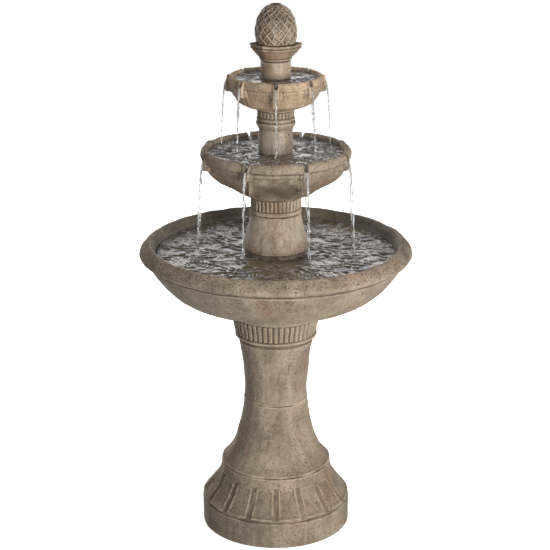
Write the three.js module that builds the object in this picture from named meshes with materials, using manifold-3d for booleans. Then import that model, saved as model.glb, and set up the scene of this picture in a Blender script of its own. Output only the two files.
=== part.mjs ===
// A three-tier garden water fountain: a pedestal in two castings, a wide basin, two columns, two
// spouted bowls, a lobed collar with a pinecone finial, and the submersible pump that feeds them.
// Millimetres, +Z up. The origin is the centre of the pedestal's foot, on the ground.

import * as THREE from 'three';
import { mergeVertices } from 'three/addons/utils/BufferGeometryUtils.js';
import { RoundedBoxGeometry } from 'three/addons/geometries/RoundedBoxGeometry.js';
import Module from 'manifold-3d';

const wasm = await Module();
wasm.setup();

// ---------------------------------------------------------------- driving dimensions

const GAP = 0.3;                  // left between pieces that touch
const BASIN_ROUND = 48;           // steps round the basin
const WALL = 10;                  // thickness of the cast shells

// Levels of the seams and floors, from the ground up.
const BASE_TOP = 309;             // shaft casting stands on the base casting
const BASIN_SEAT = 541;           // basin stands on the shaft
const BASIN_FLOOR = 562;          // middle column and pump stand here
const MIDDLE_SEAT = 797;          // middle bowl stands on its column
const MIDDLE_FLOOR = 812;         // upper column stands here
const UPPER_SEAT = 994;           // upper bowl stands on its column
const UPPER_FLOOR = 1009;         // collar stands here
const CUP_FLOOR = 1124;           // finial stands in the collar's cup
const TOP = 1224;

// Radii.
const FOOT_RADIUS = 172.5;
const WAIST_RADIUS = 74;
const BASIN_RADIUS = 309.3;
const MIDDLE_RADIUS = 168.5;
const UPPER_RADIUS = 105;
const CONE_RADIUS = 46.4;
const TUBE_RADIUS = 8;
const TUBE_BORE = 6;
const TUBE_WAY = 11;              // holes that the riser tube runs through
const SOCKET_DEPTH = 12;          // how far one casting's spigot sits in the next

// Relief.
const TONGUES = 16;               // leaves on the pedestal's apron
const NECK_FLUTES = 42;           // under the basin
const MIDDLE_FLUTES = 32;         // under the middle bowl
const UPPER_FLUTES = 28;          // under the upper bowl
const SPOUTS = 8;                 // on each bowl

// The pump lies with its rotor along Y and its outlet on the fountain's axis.
const ROTOR_Z = 592;
const VOLUTE_RADIUS = 18;
const VOLUTE_HALF = 8;            // half its thickness, along Y
const MOTOR_BACK = 44;
const PUMP_BOTTOM = 568;
const STRAINER_FRONT = -30;
const SHAFT_RADIUS = 1.5;
const GLAND_X = 44;               // cord gland beside the pump

// ---------------------------------------------------------------- materials

function finish(color, roughness, metalness = 0) {
  return new THREE.MeshStandardMaterial({ color, roughness, metalness });
}

const STONE = finish(0x8f7a63, 0.85);
const STONE_WARM = finish(0x9c7a5a, 0.85);
const RUBBER = finish(0x1c1c1d, 0.8);
const PLASTIC = finish(0x232427, 0.5);
const PLASTIC_GREY = finish(0x55595e, 0.5);
const CLEAR_TUBE = finish(0x9fa8a6, 0.3);
const CERAMIC = finish(0xe8e4da, 0.25);
const MAGNET = finish(0x3a3a3d, 0.45, 0.2);
const FOAM = finish(0x1f2a38, 0.95);

// ---------------------------------------------------------------- shape helpers

const radians = THREE.MathUtils.degToRad;

// Points on a smooth curve through a few [radius, height] pairs.
function sweep(pairs, steps) {
  const curve = new THREE.SplineCurve(pairs.map(([r, z]) => new THREE.Vector2(r, z)));
  return curve.getPoints(steps).map((point) => [point.x, point.y]);
}

// Turns an outline of [radius, height] pairs round +Z. The outline runs up the outside, closes on
// itself or on the axis, and starts at the front, at -Y.
function turned(outline, steps) {
  const points = outline.map(([r, z]) => new THREE.Vector2(r, z));
  const onAxis = outline[0][0] === 0 && outline[outline.length - 1][0] === 0;
  if (!onAxis) points.push(points[0].clone());
  return new THREE.LatheGeometry(points, steps).rotateX(Math.PI / 2);
}

// Moves every point of a turned shape: place(angle, radius, height) gives its new place.
function reshape(geometry, place) {
  const position = geometry.attributes.position;
  for (let i = 0; i < position.count; i += 1) {
    const x = position.getX(i);
    const y = position.getY(i);
    const [angle, radius, height] = place(Math.atan2(x, -y), Math.hypot(x, y), position.getZ(i));
    position.setXYZ(i, radius * Math.sin(angle), -radius * Math.cos(angle), height);
  }
  return geometry;
}

// Moves evenly spaced angles to the stops given in degrees for one repeat of the pattern.
function gather(angle, stops) {
  const pitch = stops[stops.length - 1];
  const step = pitch / (stops.length - 1);
  const degrees = THREE.MathUtils.radToDeg(angle);
  const index = Math.round(degrees / step);
  const repeat = Math.floor(index / (stops.length - 1));
  const local = index - repeat * (stops.length - 1);
  return { angle: radians(repeat * pitch + stops[local]), local };
}

// A turned shape with upright flutes between two heights, sunk into every second step round it.
function fluted(outline, flutes, from, to, outer, depth) {
  return reshape(turned(outline, flutes * 2), (angle, radius, height) => {
    const step = Math.round((angle / Math.PI) * flutes);
    const inBand = height > from && height < to && radius > outer;
    return [angle, inBand && step % 2 === 0 ? radius - depth : radius, height];
  });
}

function cylinder(radius, length, steps) {
  return new THREE.CylinderGeometry(radius, radius, length, steps);
}

// A cylinder along Y from y0 to y1, on the rotor's axis unless a place is given.
function alongY(radius, y0, y1, steps = 24, x = 0, z = ROTOR_Z) {
  return cylinder(radius, y1 - y0, steps).translate(x, (y0 + y1) / 2, z);
}

// A cylinder along Z from z0 to z1.
function alongZ(radius, z0, z1, steps = 24, x = 0, y = 0) {
  return cylinder(radius, z1 - z0, steps).rotateX(Math.PI / 2).translate(x, y, (z0 + z1) / 2);
}

// A box from its lowest to its highest corner.
function block(low, high) {
  const size = high.map((value, i) => value - low[i]);
  const middle = high.map((value, i) => (value + low[i]) / 2);
  return new THREE.BoxGeometry(...size).translate(...middle);
}

function roundedBlock(low, high, radius) {
  const size = high.map((value, i) => value - low[i]);
  const middle = high.map((value, i) => (value + low[i]) / 2);
  return new RoundedBoxGeometry(...size, 1, radius).translate(...middle);
}

// ---------------------------------------------------------------- joining and cutting

function toSolid(geometry) {
  const bare = new THREE.BufferGeometry();
  bare.setAttribute('position', geometry.attributes.position.clone());
  if (geometry.index) bare.setIndex(geometry.index.clone());
  const merged = mergeVertices(bare, 1e-4);
  const vertProperties = new Float32Array(merged.attributes.position.array);
  const triVerts = new Uint32Array(merged.index.array);
  return new wasm.Manifold(new wasm.Mesh({ numProp: 3, vertProperties, triVerts }));
}

function toGeometry(solid) {
  const mesh = solid.getMesh();
  const geometry = new THREE.BufferGeometry();
  geometry.setAttribute('position', new THREE.BufferAttribute(mesh.vertProperties, 3));
  geometry.setIndex(new THREE.BufferAttribute(mesh.triVerts, 1));
  geometry.computeVertexNormals();
  return geometry;
}

function join(...geometries) {
  return toGeometry(geometries.map(toSolid).reduce((all, next) => all.add(next)));
}

function cut(geometry, ...tools) {
  return toGeometry(tools.map(toSolid).reduce((left, tool) => left.subtract(tool), toSolid(geometry)));
}

// ---------------------------------------------------------------- the fountain

const fountain = new THREE.Group();

function add(name, geometry, material) {
  const mesh = new THREE.Mesh(geometry, material);
  mesh.name = name;
  fountain.add(mesh);
  return mesh;
}

// Foot block, apron of leaves, plain band and the lower half of the tapered shaft.
function pedestalBase() {
  const APRON_FOOT = 64;
  const APRON_TOP = 129;
  const GROOVE_DEPTH = 3.5;
  const outside = [
    [FOOT_RADIUS - 1.5, 0], [FOOT_RADIUS + 0.3, 4], [FOOT_RADIUS, 58], [FOOT_RADIUS - 2, 61],
    ...sweep([[FOOT_RADIUS - 1, APRON_FOOT], [164, 74], [150, 92], [139, 111], [131, APRON_TOP]], 4),
    [128.5, 150], [125.5, 154],
    ...sweep([[119, 158], [104, 184], [87, 231], [77.5, 274], [WAIST_RADIUS, BASE_TOP - GAP]], 4),
  ];
  const inside = [
    [WAIST_RADIUS - WALL, BASE_TOP - GAP], [WAIST_RADIUS - WALL, BASE_TOP - 20], [80, 215],
    [108, 158], [FOOT_RADIUS - WALL - 2, 66], [FOOT_RADIUS - WALL - 2, 0],
  ];
  const stops = [0, 3.5, 11.25, 19, 360 / TONGUES];
  const shell = reshape(turned([...outside, ...inside], TONGUES * 4), (angle, radius, height) => {
    const at = gather(angle, stops);
    const onApron = height > APRON_FOOT + 1 && height < APRON_TOP - 1 && radius > 130;
    const sink = onApron && at.local === 0 ? GROOVE_DEPTH : 0;
    return [at.angle, radius - sink, height];
  });
  const cordNotch = block([-14, FOOT_RADIUS - 40, -5], [14, FOOT_RADIUS + 10, 22]);
  add('pedestal_base', cut(shell, cordNotch), STONE);
}

// The upper half of the shaft and the fluted drum that the basin stands on, with a spigot below.
function pedestalShaft() {
  const SPIGOT = WAIST_RADIUS - WALL - GAP - 0.1;
  const outline = [
    [SPIGOT, BASE_TOP - SOCKET_DEPTH], [SPIGOT, BASE_TOP], [72.6, BASE_TOP],
    ...sweep([[72.6, 318], [72.8, 345], [75, 379], [80, 424], [86, 448]], 4),
    [89, 456], [88.3, 460], [94, 464], [94.3, 468],
    [93.4, 472], ...sweep([[93, 474], [96, 495], [100, 512]], 2), [101.5, 516],
    [105.5, BASIN_SEAT - GAP],
    [86, BASIN_SEAT - GAP], [86, 522], [76, 450], [61, 345],
    [56, BASE_TOP], [56, BASE_TOP - SOCKET_DEPTH],
  ];
  add('pedestal_shaft', fluted(outline, NECK_FLUTES, 473, 514, 90, 2.2), STONE);
}

// The wide basin, with a spigot ring below and a hole for the cord gland in its floor.
function basin() {
  const outline = [
    [0, BASIN_FLOOR - 11], [74, BASIN_FLOOR - 11], [74, BASIN_SEAT - SOCKET_DEPTH],
    [85.4, BASIN_SEAT - SOCKET_DEPTH], [85.4, BASIN_SEAT], [106, BASIN_SEAT],
    ...sweep([[110, 545.5], [193, 556.5], [246, 588], [276, 622], [296, 654]], 5),
    [305, 656.5], [BASIN_RADIUS, 665], [303, 676], [286, 687.5], [277, 680],
    ...sweep([[273, 668], [262, 640], [238, 605], [205, 577], [160, BASIN_FLOOR]], 4),
    [0, BASIN_FLOOR],
  ];
  const glandHole = alongZ(9, BASIN_FLOOR - 20, BASIN_FLOOR + 5, 20, GLAND_X, 0);
  add('basin', cut(turned(outline, BASIN_ROUND), glandHole), STONE);
}

// The hollow column in the basin. Its foot is the pump's chamber, with water ways at the floor.
function middleColumn() {
  const SOCKET = 40.5;
  const outline = [
    [71, BASIN_FLOOR + GAP], [71, 666], [75.5, 671],
    ...sweep([[75.5, 677], [68, 704], [62, 726], [57.5, 750]], 3),
    [55.5, 756], [58.5, 762], [56.8, 767], [55.7, 770], [56.3, 784], [57.5, 791], [59, 793],
    [60.5, MIDDLE_SEAT - GAP],
    [SOCKET, MIDDLE_SEAT - GAP], [SOCKET, MIDDLE_SEAT - SOCKET_DEPTH],
    [TUBE_WAY, MIDDLE_SEAT - SOCKET_DEPTH], [TUBE_WAY, 774], [45, 774],
    [46, 745], [61, 680], [61, BASIN_FLOOR + GAP],
  ];
  const ways = [0, 90].map((turn) => (
    block([-100, -12, BASIN_FLOOR - 5], [100, 12, BASIN_FLOOR + 16]).rotateZ(radians(turn + 45))
  ));
  const column = fluted(outline, MIDDLE_FLUTES, 769, 792, 50, 1.6);
  add('middle_column', cut(column, ...ways), STONE);
}

// A spouted bowl: its outline is turned, then the rim is drawn out and down at each spout.
function spoutedBowl(outline, spoutLocal, stops, rim) {
  const steps = SPOUTS * (stops.length - 1);
  return reshape(turned(outline, steps), (angle, radius, height) => {
    const at = gather(angle, stops);
    if (at.local !== spoutLocal || height < rim.from) return [at.angle, radius, height];
    const reach = radius > rim.lip ? rim.reach : 0;
    return [at.angle, radius + reach, height - rim.drop];
  });
}

function middleBowl() {
  const outline = [
    [14, MIDDLE_SEAT - SOCKET_DEPTH + 2], [40, MIDDLE_SEAT - SOCKET_DEPTH + 2], [40, MIDDLE_SEAT],
    ...sweep([[60.5, MIDDLE_SEAT], [84, 806], [108, 823], [132, 840], [150, 862]], 4),
    [160, 871], [167, 883], [MIDDLE_RADIUS, 891], [167, 899], [160, 904.5], [153, 902],
    ...sweep([[151, 893], [141, 867], [116, 841], [62, MIDDLE_FLOOR]], 4),
    [14, MIDDLE_FLOOR],
  ];
  const stops = [0, 9, 18.5, 22.5, 26.5, 36, 360 / SPOUTS];
  const rim = { from: 868, lip: 152, reach: 5, drop: 10.5 };
  add('middle_bowl', spoutedBowl(outline, 3, stops, rim), STONE);
}

// The slim column that stands in the middle bowl.
function upperColumn() {
  const outline = [
    [38, MIDDLE_FLOOR + GAP], [38, 944], [39, 952], [42, 957], [44.3, 962], [44.3, 967],
    [41, 970], [41.6, 974], [40, 976], [41, 988], [42, 991], [43, UPPER_SEAT - GAP],
    [26.5, UPPER_SEAT - GAP], [26.5, UPPER_SEAT - SOCKET_DEPTH],
    [TUBE_WAY, UPPER_SEAT - SOCKET_DEPTH], [TUBE_WAY, 972], [28, 972], [28, MIDDLE_FLOOR + GAP],
  ];
  add('upper_column', fluted(outline, UPPER_FLUTES, 975, 990, 35, 1.3), STONE);
}

function upperBowl() {
  const outline = [
    [14, UPPER_SEAT - SOCKET_DEPTH + 2], [26, UPPER_SEAT - SOCKET_DEPTH + 2], [26, UPPER_SEAT],
    [43, UPPER_SEAT], [68, 1002.5], [81, 1009], [86, 1020],
    ...sweep([[90, 1028.5], [98, 1041], [103, 1051]], 2),
    [UPPER_RADIUS, 1058], [104, 1065], [98, 1068.5], [93, 1066],
    ...sweep([[91.5, 1059], [84, 1039], [70, 1019], [46, UPPER_FLOOR]], 3),
    [14, UPPER_FLOOR],
  ];
  const stops = [0, 5.5, 14, 22.5, 31, 39.5, 360 / SPOUTS];
  const rim = { from: 1046, lip: 92, reach: 5, drop: 8 };
  add('upper_bowl', spoutedBowl(outline, 0, stops, rim), STONE_WARM);
}

// Stem and six-lobed cup under the finial.
function finialCollar() {
  const LOBES = 6;
  const LOBE_RISE = 1.5;
  const outline = [
    [33.5, UPPER_FLOOR + GAP], [33.5, 1091], [32.5, 1094], [34, 1098], [40, 1110], [47, 1119],
    [52.5, 1127], [55, 1134], [52, 1137.5],
    [36.5, 1137.5], [36.5, CUP_FLOOR], [24, CUP_FLOOR], [24, UPPER_FLOOR + GAP],
  ];
  const cup = reshape(turned(outline, LOBES * 4), (angle, radius, height) => {
    const onCup = height > 1105 && radius > 38;
    const lobe = -Math.cos(LOBES * angle) * LOBE_RISE;
    return [angle, onCup ? radius + lobe : radius, height];
  });
  add('finial_collar', cup, STONE_WARM);
}

// Pinecone: a bud of pointed scales, with the water's way up its middle.
function pineconeFinial() {
  const SCALES_ROUND = 14;
  const SCALE_RISE = 0.9;
  const rows = sweep([[43.8, 1139], [CONE_RADIUS, 1158], [45.6, 1177], [38.5, 1200], [26, 1215.5],
    [14, TOP]], 9);
  const outline = [
    [36, CUP_FLOOR + GAP], [36, 1139], ...rows,
    [9.5, TOP - 3], [9.5, CUP_FLOOR + GAP],
  ];
  const bud = reshape(turned(outline, SCALES_ROUND * 2), (angle, radius, height) => {
    const row = rows.findIndex(([, z]) => Math.abs(z - height) < 0.01);
    const onScale = row > 0 && row < rows.length - 1 && radius > 15;
    const step = Math.round((angle / Math.PI) * SCALES_ROUND);
    const raised = (row + step + SCALES_ROUND * 2) % 2 === 0 ? SCALE_RISE : -SCALE_RISE;
    return [angle, onScale ? radius + raised - SCALE_RISE / 2 : radius, height];
  });
  add('pinecone_finial', bud, STONE_WARM);
}

// ---------------------------------------------------------------- seals and riser tube

function seals() {
  const gland = turned([
    [3.5, BASIN_FLOOR - 15], [8.2, BASIN_FLOOR - 15], [8.7, BASIN_FLOOR + GAP],
    [13, BASIN_FLOOR + GAP], [12, BASIN_FLOOR + 4], [3.5, BASIN_FLOOR + 4],
  ], 16).translate(GLAND_X, 0, 0);
  add('basin_cord_gland', gland, RUBBER);

  const grommet = (floor) => turned([
    [TUBE_RADIUS + GAP, floor - 12], [13.6, floor - 12], [13.6, floor + GAP],
    [17, floor + GAP], [16, floor + 3.5], [TUBE_RADIUS + GAP, floor + 3.5],
  ], 20);
  add('middle_bowl_grommet', grommet(MIDDLE_FLOOR), RUBBER);
  add('upper_bowl_grommet', grommet(UPPER_FLOOR), RUBBER);
}

const BARB_SHOULDER = 632;

function riserTube() {
  const foot = BARB_SHOULDER + GAP;
  const head = TOP - 8;
  const outline = [[TUBE_BORE, foot], [TUBE_RADIUS, foot], [TUBE_RADIUS, head], [TUBE_BORE, head]];
  add('riser_tube', turned(outline, 16), CLEAR_TUBE);

  const sleeve = 7.8;
  const nozzle = TUBE_BORE - GAP;
  const barb = turned([
    [sleeve, 617], [10, 617], [10, BARB_SHOULDER], [nozzle, BARB_SHOULDER], [nozzle, 652],
    [4.2, 652], [4.2, 628 + GAP], [sleeve, 628 + GAP],
  ], 16);
  add('hose_adapter', barb, PLASTIC_GREY);
}

// ---------------------------------------------------------------- pump

const MOTOR_FRONT = VOLUTE_HALF + GAP;
const WELL_RADIUS = 9.5;
const WELL_BACK = 34;
const CUP_PLACES = [[-15, 16], [15, 16], [-15, 37], [15, 37]];

// Potted motor block with the rotor's well, a bush socket, cup sockets and the cord's inlet.
function motorHousing() {
  const body = roundedBlock([-23, MOTOR_FRONT, PUMP_BOTTOM], [23, MOTOR_BACK, 616], 4);
  const inlet = alongY(6, MOTOR_BACK - 3, MOTOR_BACK + 9, 20);
  const sockets = CUP_PLACES.map(([x, y]) => alongZ(3.3, PUMP_BOTTOM - 2, PUMP_BOTTOM + 4, 12, x, y));
  const hollow = [
    alongY(WELL_RADIUS, MOTOR_FRONT - 2, WELL_BACK, 24),
    alongY(4.3, WELL_BACK - 1, WELL_BACK + 4, 20),
    alongY(3.5, MOTOR_BACK + 3, MOTOR_BACK + 12, 16),
  ];
  add('pump_motor_housing', cut(join(body, inlet), ...hollow, ...sockets), PLASTIC);
}

// Round cover over the impeller, with the upright outlet and the cross bar for the front bush.
function voluteCover() {
  const drum = alongY(VOLUTE_RADIUS, -VOLUTE_HALF, VOLUTE_HALF, 28);
  const outlet = alongZ(7.5, ROTOR_Z + 12, 628, 16);
  const chamber = alongY(14, 3 - VOLUTE_HALF, VOLUTE_HALF + 2, 28);
  const intake = alongY(8, -VOLUTE_HALF - 2, 5 - VOLUTE_HALF, 20);
  const outletBore = alongZ(4.5, ROTOR_Z + 6, 630, 12);
  const bar = block([-9, -VOLUTE_HALF, ROTOR_Z - 2], [9, 2.5 - VOLUTE_HALF, ROTOR_Z + 2]);
  const hub = alongY(4.6, -VOLUTE_HALF, 2.5 - VOLUTE_HALF, 20);
  const hubBore = alongY(3.3, -VOLUTE_HALF - 1, 4 - VOLUTE_HALF, 16);
  const shell = cut(join(drum, outlet), chamber, intake, outletBore);
  add('pump_volute_cover', cut(join(shell, bar, hub), hubBore), PLASTIC);
}

// A short tube along Y, used for the bushes, the magnet and the impeller's hub.
function tubeAlongY(outer, inner, y0, y1, steps = 16) {
  return cut(alongY(outer, y0, y1, steps), alongY(inner, y0 - 1, y1 + 1, 12));
}

function rotorParts() {
  const bore = SHAFT_RADIUS + GAP;
  add('front_shaft_bush', tubeAlongY(3, bore, -VOLUTE_HALF + 0.2, 2.6 - VOLUTE_HALF), RUBBER);
  add('rear_shaft_bush', tubeAlongY(4, bore, WELL_BACK + 0.6, WELL_BACK + 3.6), RUBBER);
  add('rotor_shaft', alongY(SHAFT_RADIUS, 0.4 - VOLUTE_HALF, WELL_BACK + 3.2, 12), CERAMIC);
  add('magnet_rotor', tubeAlongY(9, bore, 13, WELL_BACK - 1, 24), MAGNET);

  const BLADES = 6;
  const hub = alongY(3.8, -4.5, 13 - GAP, 16);
  const disc = alongY(12, 6, 7.6, 24);
  const blades = Array.from({ length: BLADES }, (_, i) => (
    block([-0.7, -3.5, 3], [0.7, 6.5, 12]).rotateY((i * 2 * Math.PI) / BLADES).translate(0, 0, ROTOR_Z)
  ));
  const wheel = cut(join(hub, disc, ...blades), alongY(bore, -6, 14, 12));
  add('pump_impeller', wheel, PLASTIC_GREY);
}

// Slotted intake cover that slips over the volute, with the sponge and the flow knob in its face.
function strainer() {
  const outer = roundedBlock([-21, STRAINER_FRONT, 571], [21, 2, 613], 3);
  const inner = block([-18.4, STRAINER_FRONT + 2.5, 573.6], [18.4, 4, 610.4]);
  const outletNotch = block([-8.2, -9, 605], [8.2, 4, 620]);
  const slits = [-15.5, -11, 11, 15.5].map((x) => (
    block([x - 1.2, STRAINER_FRONT - 2, 578], [x + 1.2, STRAINER_FRONT + 4, 606])
  ));
  const knobHole = alongY(2.3, STRAINER_FRONT - 2, STRAINER_FRONT + 4, 12);
  add('pump_strainer', cut(outer, inner, outletNotch, ...slits, knobHole), PLASTIC);

  add('intake_sponge', block([-17.6, -26.6, 574.4], [17.6, -14, 604]), FOAM);

  const disc = alongY(8, STRAINER_FRONT - 3, STRAINER_FRONT - GAP, 20);
  const grip = block([-1.5, STRAINER_FRONT - 6, ROTOR_Z - 7], [1.5, STRAINER_FRONT - 2, ROTOR_Z + 7]);
  const pin = alongY(2, STRAINER_FRONT - 1, STRAINER_FRONT + 3, 12);
  add('flow_knob', join(disc, grip, pin), PLASTIC_GREY);
}

function suctionCups() {
  const outline = [
    [0, BASIN_FLOOR + 2], [5.5, BASIN_FLOOR + GAP], [8, BASIN_FLOOR + GAP], [7.5, BASIN_FLOOR + 1.5],
    [3, BASIN_FLOOR + 4.5], [3, PUMP_BOTTOM + 3.5], [0, PUMP_BOTTOM + 3.5],
  ];
  CUP_PLACES.forEach(([x, y], i) => {
    add(`suction_cup_${i + 1}`, turned(outline, 12).translate(x, y, 0), RUBBER);
  });
}

pedestalBase();
pedestalShaft();
basin();
middleColumn();
middleBowl();
upperColumn();
upperBowl();
finialCollar();
pineconeFinial();
seals();
riserTube();
motorHousing();
voluteCover();
rotorParts();
strainer();
suctionCups();

export default fountain;
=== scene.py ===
"""A three-tier cast-stone fountain with running water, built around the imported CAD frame.

Lengths in the shape functions are millimetres: radius out from the upright axis, height up from
the floor. Angles are degrees round the axis, from the front (-Y) towards the right (+X).
"""
import math

import bpy
import numpy as np
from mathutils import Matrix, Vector


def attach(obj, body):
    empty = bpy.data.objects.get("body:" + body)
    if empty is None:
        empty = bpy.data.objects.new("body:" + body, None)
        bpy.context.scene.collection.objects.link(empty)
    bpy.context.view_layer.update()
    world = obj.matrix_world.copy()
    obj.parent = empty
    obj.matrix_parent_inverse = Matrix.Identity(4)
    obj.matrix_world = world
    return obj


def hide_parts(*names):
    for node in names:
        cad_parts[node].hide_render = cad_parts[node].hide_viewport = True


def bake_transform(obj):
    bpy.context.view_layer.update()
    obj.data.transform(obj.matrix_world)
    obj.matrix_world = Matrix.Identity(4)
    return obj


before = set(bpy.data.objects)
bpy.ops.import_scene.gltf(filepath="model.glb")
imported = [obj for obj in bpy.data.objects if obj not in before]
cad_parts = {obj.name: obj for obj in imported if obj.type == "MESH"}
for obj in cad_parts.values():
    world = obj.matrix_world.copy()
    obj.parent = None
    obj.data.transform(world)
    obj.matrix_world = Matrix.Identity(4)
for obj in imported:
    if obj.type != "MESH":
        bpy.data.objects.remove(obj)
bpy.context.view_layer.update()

MM = 0.001
TURN = 2 * math.pi

# Heights where the castings meet, and the three water levels.
BASE_TOP = 309
BASIN_SEAT = 541
BASIN_FLOOR = 562
BASIN_WATER = 663
MIDDLE_SEAT = 797
MIDDLE_FLOOR = 812
MIDDLE_WATER = 892.5
UPPER_SEAT = 994
UPPER_FLOOR = 1009
UPPER_WATER = 1060
CUP_FLOOR = 1124
TOP = 1224
SOCKET_DEPTH = 12
GAP = 0.3
SPOUTS = 8
MIDDLE_FIRST_SPOUT = 22.5
UPPER_FIRST_SPOUT = 0

# The notch for the pump's cord at the back of the base, and the water ways under the column.
CORD_NOTCH_WIDTH = 28
CORD_NOTCH_TOP = 22
WATER_WAY_WIDTH = 24
WATER_WAY_TOP = 578


# -------- number helpers

def smooth(value, low, high):
    """0 below low, 1 above high, easing between them."""
    t = np.clip((value - low) / (high - low), 0, 1)
    return t * t * (3 - 2 * t)


def band(value, low, high, soft):
    """1 between low and high, easing to 0 over a width of soft on both sides."""
    return smooth(value, low - soft, low) * (1 - smooth(value, high, high + soft))


def bump(value, middle, width):
    """A rounded rise of height 1 at middle."""
    return np.exp(-((value - middle) / width) ** 2)


def off_nearest(angle, count, first):
    """Signed degrees from the nearest of `count` places spaced evenly round, one at `first`."""
    pitch = 360 / count
    return (angle - first + pitch / 2) % pitch - pitch / 2


def waves(points, length, amount, seed):
    """Smooth seeded noise at points (mm), with lumps about `length` across."""
    count = 22
    rng = np.random.default_rng(seed)
    total = np.zeros(points.shape[:-1])
    for _ in range(count):
        direction = rng.normal(size=3)
        direction /= np.linalg.norm(direction)
        turns = points @ direction / (length * rng.uniform(0.7, 1.5))
        total += np.sin(TURN * (turns + rng.random()))
    return total * amount / math.sqrt(count / 2)


def place_of(angle, radius, height):
    """The point (x, y, z) at an angle, radius and height."""
    around = np.radians(angle)
    return np.stack([radius * np.sin(around), -radius * np.cos(around), height], -1)


def raised_to(height, top, across, half_width):
    """Lifts the bottom edge of a wall to `top` within half_width, for an opening under it."""
    lift = 0.96 * (1 - smooth(across, half_width - 1.5, half_width + 0.5))
    return np.where(height < top, height + (top - height) * lift, height)


def panel_distance(across, up, half_width, half_height, corner):
    """Distance outside (+) or inside (-) a rectangle with rounded corners."""
    x = np.abs(across) - half_width + corner
    y = np.abs(up) - half_height + corner
    outside = np.hypot(np.maximum(x, 0), np.maximum(y, 0))
    return outside + np.minimum(np.maximum(x, y), 0) - corner


# -------- outlines

def run(points, step):
    """Points at most `step` apart along straight lines, without the last one."""
    out = []
    for a, b in zip(points, points[1:]):
        count = max(1, math.ceil(math.dist(a, b) / step))
        for t in np.arange(count) / count:
            out.append((a[0] + (b[0] - a[0]) * t, a[1] + (b[1] - a[1]) * t))
    return out


def curve(points, step):
    """Points about `step` apart along a smooth curve through points, without the last one."""
    pts = [np.array(p, float) for p in points]
    pts = [2 * pts[0] - pts[1]] + pts + [2 * pts[-1] - pts[-2]]
    out = []
    for a, b, c, d in zip(pts, pts[1:], pts[2:], pts[3:]):
        count = max(1, math.ceil(np.linalg.norm(c - b) / step))
        for t in np.arange(count) / count:
            bend = 2 * a - 5 * b + 4 * c - d
            last = 3 * b - a - 3 * c + d
            out.append(tuple(0.5 * (2 * b + (c - a) * t + bend * t ** 2 + last * t ** 3)))
    return out


def trace(start, *parts):
    """An outline from start: each part, (run or curve, step, points), goes on from the last."""
    out = []
    for how, step, *points in parts:
        out += how([start, *points], step)
        start = points[-1]
    return out


# -------- meshes

def add_object(name, data):
    """A new object in the scene."""
    made = bpy.data.objects.new(name, data)
    bpy.context.scene.collection.objects.link(made)
    return made


def make_object(name, vertices_mm, faces, attributes, body, material):
    """A smooth-shaded piece that rides on a CAD body."""
    mesh = bpy.data.meshes.new(name)
    mesh.from_pydata((np.asarray(vertices_mm) * MM).tolist(), [], faces)
    for key, values in attributes.items():
        layer = mesh.attributes.new(key, "FLOAT", "POINT")
        layer.data.foreach_set("value", np.asarray(values, np.float32))
    mesh.shade_smooth()
    mesh.materials.append(material)
    piece = add_object(name, mesh)
    if body:
        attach(piece, body)
    return piece


def grid_faces(rows, steps, closed):
    """Quads of a grid that wraps round its axis, and along its outline too if closed."""
    i = np.arange(rows if closed else rows - 1)[:, None] * steps
    j = np.arange(steps)[None, :]
    right = (j + 1) % steps
    up = (i + steps) % (rows * steps)
    quads = np.stack([i + j, i + right, up + right, up + j], -1)
    return quads.reshape(-1, 4).tolist()


def convexity(grid, closed):
    """How sharply each point of a grid stands out (+) or lies in a hollow (-), per mm."""
    def neighbour(axis, shift):
        moved = np.roll(grid, shift, axis=axis)
        if axis == 0 and not closed:
            moved[0] = grid[0]
            moved[-1] = grid[-1]
        return moved
    rows = neighbour(0, -1), neighbour(0, 1)
    columns = neighbour(1, -1), neighbour(1, 1)
    normal = np.cross(columns[0] - columns[1], rows[0] - rows[1])
    normal /= np.linalg.norm(normal, axis=2, keepdims=True) + 1e-9
    total = np.zeros(grid.shape[:2])
    for ahead, behind in (rows, columns):
        sag = ((grid - (ahead + behind) / 2) * normal).sum(2)
        span = np.linalg.norm(ahead - behind, axis=2) / 2
        total += 2 * sag / np.maximum(span, 1.0) ** 2
    return total


def blurred(values):
    """Values averaged with their neighbours on the grid."""
    for axis in (0, 1):
        values = (np.roll(values, 1, axis) + 2 * values + np.roll(values, -1, axis)) / 4
    return values


def turned(line, steps):
    """The angle, radius and height at each point of a grid turned from an outline."""
    angle = np.arange(steps) * 360 / steps + np.zeros((len(line), 1))
    return angle, line[:, :1] + 0 * angle, line[:, 1:] + 0 * angle


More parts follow.
